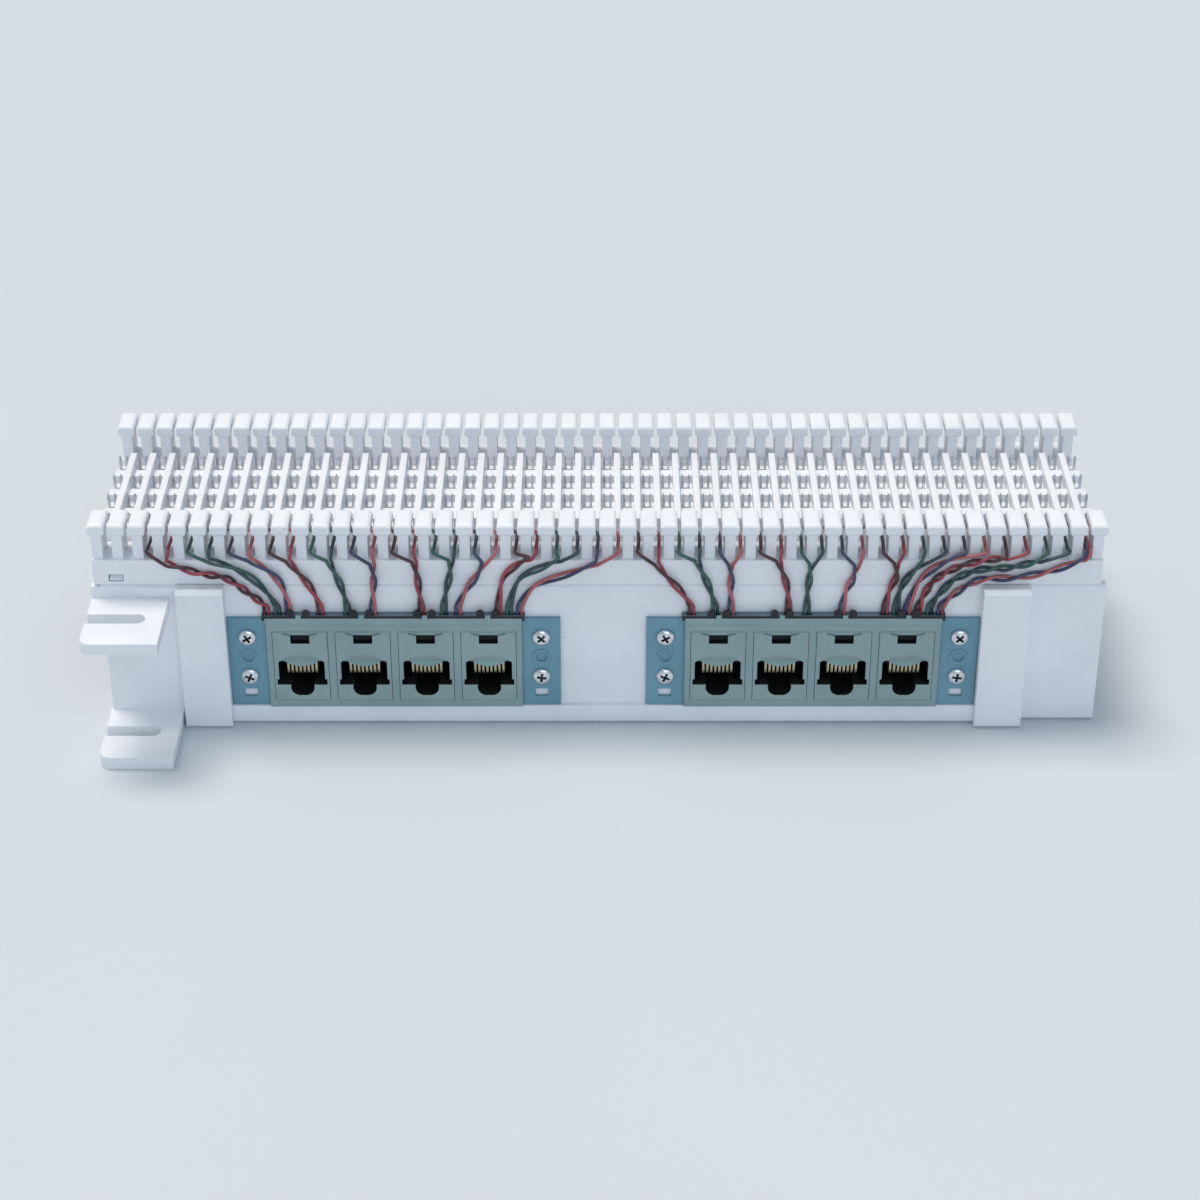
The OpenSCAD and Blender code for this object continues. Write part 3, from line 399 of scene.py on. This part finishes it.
# %% Screws in their places
for side in SIDES:
    low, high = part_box(f"{side}_plate_screws")
    plate_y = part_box(f"{side}_jack_plate")[0].y + RING_OUT
    places = [(x, z) for x in (low.x + HEAD_R, high.x - HEAD_R)
              for z in (low.z + HEAD_R, high.z - HEAD_R)]
    bm = bmesh.new()
    for number, (x, z) in enumerate(places):
        known = set(bm.verts)
        bm.from_mesh(screw_mesh)
        fresh = [v for v in bm.verts if v not in known]
        turn = Matrix.Rotation(math.radians(23 + 37 * number), 3, "Y")
        bmesh.ops.rotate(bm, verts=fresh, cent=(0, 0, 0), matrix=turn)
        bmesh.ops.translate(bm, verts=fresh, vec=(x, plate_y, z))
    keep_piece(bm, f"{side}_screws", [bright, recess], "bright_screw", f"{side}_plate_screws")
print("set", 4 * len(SIDES), "screws")

# %% [markdown]
# ## The wires
# Each wire starts in the fork of its clip, crosses the trough, leaves through a gap of the
# near comb, meets its partner and runs twisted with it to the wire guide. The routes are
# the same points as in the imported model. A curve with a round bevel draws a smooth cover.

# %% Routes of the pairs
ROW_PITCH = 5.08 * MM
ROWS = 50
COLUMN_PITCH = 10.16 * MM
WIRE_D = 0.9 * MM
PAIR_OFF = 0.56 * MM
ROUTES = [
    [(-107.4, 7), (-99.5, 4.2), (-92.6, 2.6), (-87.4, -1.6), -83.2],
    [(-96.6, 7.8), (-90.6, 5.6), (-84.6, 1), -80.4],
    [(-86.4, 8), (-82, 4.8), (-78.8, 0.4), -77.6],
    [(-77, 7.8), (-74.2, 3.8), (-71.4, -0.6), -69.6],
    [(-66.8, 7.8), (-65.4, 4), (-63.8, -0.6), -62.8],
    [(-56, 6.6), (-55.8, 3.4), (-56, -0.6), -56.4],
    [(-45.6, 7.4), (-45, 3.8), (-44.6, -0.6), -44.2],
    [(-36.4, 7.8), (-36.7, 4), (-37.7, -0.6), -38.6],
    [(-28.2, 7), (-30.2, 3.2), (-32.8, -0.8), -35],
    [(-16.8, 8.4), (-20.2, 6.4), (-23.6, 2.4), -24.9],
    [(-9.4, 8), (-13.4, 6), (-19.4, 2.4), -22.2],
    [(-0.2, 7), (-7, 4), (-15.6, 0.4), -19.5],
    [(14.8, 6.8), (17.6, 2.8), (21, -1.2), 23.6],
    [(24.8, 7.8), (26.4, 3.8), (28.2, -0.6), 29.6],
    [(33.2, 6.6), (33.4, 3.4), (33.4, -0.6), 33.6],
    [(45, 7.8), (46.4, 3.8), (47.6, -0.6), 48],
    [(53.4, 6.6), (53, 3.4), (52.7, -0.6), 52.6],
    [(64.6, 6.2), (63.8, 2.6), (62.4, -0.8), 61.4],
    [(74.4, 7), (74.6, 3.4), (73.2, -0.6), 72.2],
    [(81, 7), (77.8, 3.4), (75.9, -0.6), 75],
    [(89.6, 9), (84.6, 6.2), (80.4, 1.8), 77.8],
    [(101.8, 8.6), (95, 7.6), (88, 5), (83.4, 1), 80.6],
    [(110, 7.8), (103, 5.8), (95, 5), (88.4, 1.6), 83.4],
    [(121.2, 8.4), (113, 4.8), (104, 2.8), (96, 2.4), (90.4, -1), 86.2],
]
block_low, block_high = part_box("wiring_block")
SEAM_Z = block_low.z
guide_low, guide_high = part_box("left_wire_guide")
GUIDE_TOP = guide_high.z - LUG_H
CELL_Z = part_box("near_clips")[1].z - 4.1 * MM
GUIDE_Y = (guide_low.y + guide_high.y) / 2
LIFT_Z = GUIDE_TOP + 2 * MM
ENTRY_Z = GUIDE_TOP - 0.8 * MM
GAP_Z = CELL_Z + 2.4 * MM
FIELD_HALF_W = 1.5 * COLUMN_PITCH + 2.3 * MM
COMB_INNER = block_high.y - 8.6 * MM
LAST = len(ROUTES) - 1

# %% Lines of the pairs and of each wire
def row_x(i):
    return (i - (ROWS - 1) / 2) * ROW_PITCH


def gap_of(pair, right):
    """The comb gap that a wire leaves by. The last pair shares one gap."""
    return 48 if pair == LAST else 2 * pair + 2 + right


def pair_line(pair, steps):
    """The middle line of a twisted pair, from where its wires meet to just over the guide."""
    *stops, entry = ROUTES[pair]
    points = [Vector((x * MM, GUIDE_Y, SEAM_Z + rise * MM)) for x, rise in stops]
    points += [Vector((entry * MM, GUIDE_Y, LIFT_Z)), Vector((entry * MM, GUIDE_Y, ENTRY_Z))]
    return [curve_at(points, k * (len(points) - 2) / steps) for k in range(steps + 1)]


def wire_route(pair, right):
    """The whole route of one wire, as closely spaced points."""
    turns = 3 if len(ROUTES[pair]) > 4 else 1
    steps = 24 * turns
    across = Vector((0, 1, 0))
    line = pair_line(pair, steps)
    twisted = []
    for k, p in enumerate(line):
        ahead = line[min(k + 1, steps)] - line[max(k - 1, 0)]
        t = Vector((0, 0, -1)) if k == steps else ahead.normalized()
        a = math.tau * turns * k / steps + (0 if right else math.pi)
        spoke = math.cos(a) * t.cross(across).normalized() + math.sin(a) * across
        twisted.append(p + PAIR_OFF * spoke)
    gap = gap_of(pair, right)
    gx = row_x(gap) + ROW_PITCH / 2 + ((right - 0.5) * 2 * PAIR_OFF if pair == LAST else 0)
    cx = row_x(48 + right if pair == LAST else gap)
    lead = [
        Vector((cx, 1 * MM - 1.5 * COLUMN_PITCH, CELL_Z + 1.1 * MM)),
        Vector((cx, -FIELD_HALF_W, CELL_Z + 1.2 * MM)),
        Vector((gx, -COMB_INNER, GAP_Z - 0.2 * MM)),
        Vector((gx, block_low.y + 1 * MM, GAP_Z)),
        Vector((gx, GUIDE_Y + 0.3 * MM, GAP_Z - 0.6 * MM)),
    ]
    bend = lead + twisted[:2]
    smooth_lead = [curve_at(bend, k / 4) for k in range(4 * len(lead))]
    end = Vector((ROUTES[pair][-1] * MM + (PAIR_OFF if right else -PAIR_OFF), GUIDE_Y, ENTRY_Z))
    return smooth_lead + twisted + [end]


# %% [markdown]
# ## Covers of the wires
# The pairs repeat three colour schemes: red with dark maroon, green with dark teal, and
# salmon with slate blue. The covers are soft vinyl with a clear gloss.

# %% Colours of the covers
COVERS = [
    (finish("cover_maroon", srgb(58, 24, 30), srgb(76, 32, 38), 0.32, coat=0.3),
     finish("cover_red", srgb(140, 46, 58), srgb(160, 60, 72), 0.32, coat=0.3)),
    (finish("cover_green", srgb(34, 78, 68), srgb(46, 94, 82), 0.32, coat=0.3),
     finish("cover_teal", srgb(32, 54, 62), srgb(42, 68, 76), 0.32, coat=0.3)),
    (finish("cover_slate", srgb(46, 50, 84), srgb(62, 66, 102), 0.32, coat=0.3),
     finish("cover_salmon", srgb(164, 82, 86), srgb(184, 98, 100), 0.32, coat=0.3)),
]


def wire_piece(name, points, mat, node):
    """A round cover along the points, made a mesh so that its place is in its mesh."""
    curve = bpy.data.curves.new(name, "CURVE")
    curve.dimensions = "3D"
    curve.bevel_depth = WIRE_D / 2
    curve.bevel_resolution = 2
    curve.use_fill_caps = True
    spline = curve.splines.new("POLY")
    spline.points.add(len(points) - 1)
    for point, place in zip(spline.points, points):
        point.co = (*place, 1)
    guide = bpy.data.objects.new(name + "_guide", curve)
    bpy.context.scene.collection.objects.link(guide)
    shown = guide.evaluated_get(bpy.context.evaluated_depsgraph_get())
    mesh = bpy.data.meshes.new_from_object(shown)
    bpy.data.objects.remove(guide)
    mesh.materials.clear()
    mesh.materials.append(mat)
    mesh.shade_smooth()
    piece = bpy.data.objects.new(name, mesh)
    bpy.context.scene.collection.objects.link(piece)
    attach(piece, "root")
    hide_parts(node)
    return piece


for pair in range(len(ROUTES)):
    side = SIDES[pair // 12]
    node = f"{side}_wires_{pair % 12 // 3 + 1}"
    for right in (0, 1):
        name = f"pair_{pair + 1:02d}_{'ab'[right]}"
        wire_piece(name, wire_route(pair, right), COVERS[pair % 3][right], node)
print("drew", 2 * len(ROUTES), "wires")

# %% [markdown]
# ## Floor, light and camera
# The floor is plain and pale. One broad lamp above and a little behind gives the tops their
# brightness. A weaker, cooler one and a soft sky fill the walls, so colours show as written.

# %% Floor
floor_mesh = bpy.data.meshes.new("floor")
bm = bmesh.new()
bmesh.ops.create_grid(bm, x_segments=1, y_segments=1, size=6.0)
bm.to_mesh(floor_mesh)
bm.free()
floor = bpy.data.objects.new("floor", floor_mesh)
bpy.context.scene.collection.objects.link(floor)
floor.location.z = -0.02 * MM
paper = finish("floor_paper", srgb(204, 209, 214), srgb(206, 211, 216), 0.7, patch=3.0)
floor_mesh.materials.append(paper)

# %% Light
world = bpy.data.worlds.new("sky")
bpy.context.scene.world = world
world.use_nodes = True
world.node_tree.nodes["Background"].inputs["Color"].default_value = (0.78, 0.89, 1.0, 1.0)
world.node_tree.nodes["Background"].inputs["Strength"].default_value = 0.52


def lamp(name, toward, spread, strength, color):
    """A far, broad lamp that shines from a direction, the same at every place."""
    light = bpy.data.lights.new(name, "SUN")
    light.angle = math.radians(spread)
    light.energy = strength
    light.color = color
    made = bpy.data.objects.new(name, light)
    bpy.context.scene.collection.objects.link(made)
    made.rotation_euler = (-Vector(toward)).to_track_quat("-Z", "Y").to_euler()
    return made


lamp("key", (-0.6, 0.45, 2.45), 26, 2.1, (1.0, 0.94, 0.85))
lamp("front", (0.4, -2.0, 1.0), 36, 0.5, (0.7, 0.84, 1.0))

# %% Camera
camera_data = bpy.data.cameras.new("camera")
camera_data.lens = 82.5
camera_data.sensor_width = 36.0
camera_data.clip_start = 0.01
camera = bpy.data.objects.new("camera", camera_data)
bpy.context.scene.collection.objects.link(camera)
camera.location = (0.64 * MM, -0.622, 0.393)
camera.rotation_euler = (math.radians(90 - 31.1), 0, 0)
bpy.context.scene.camera = camera
bpy.context.scene.view_settings.view_transform = "Standard"
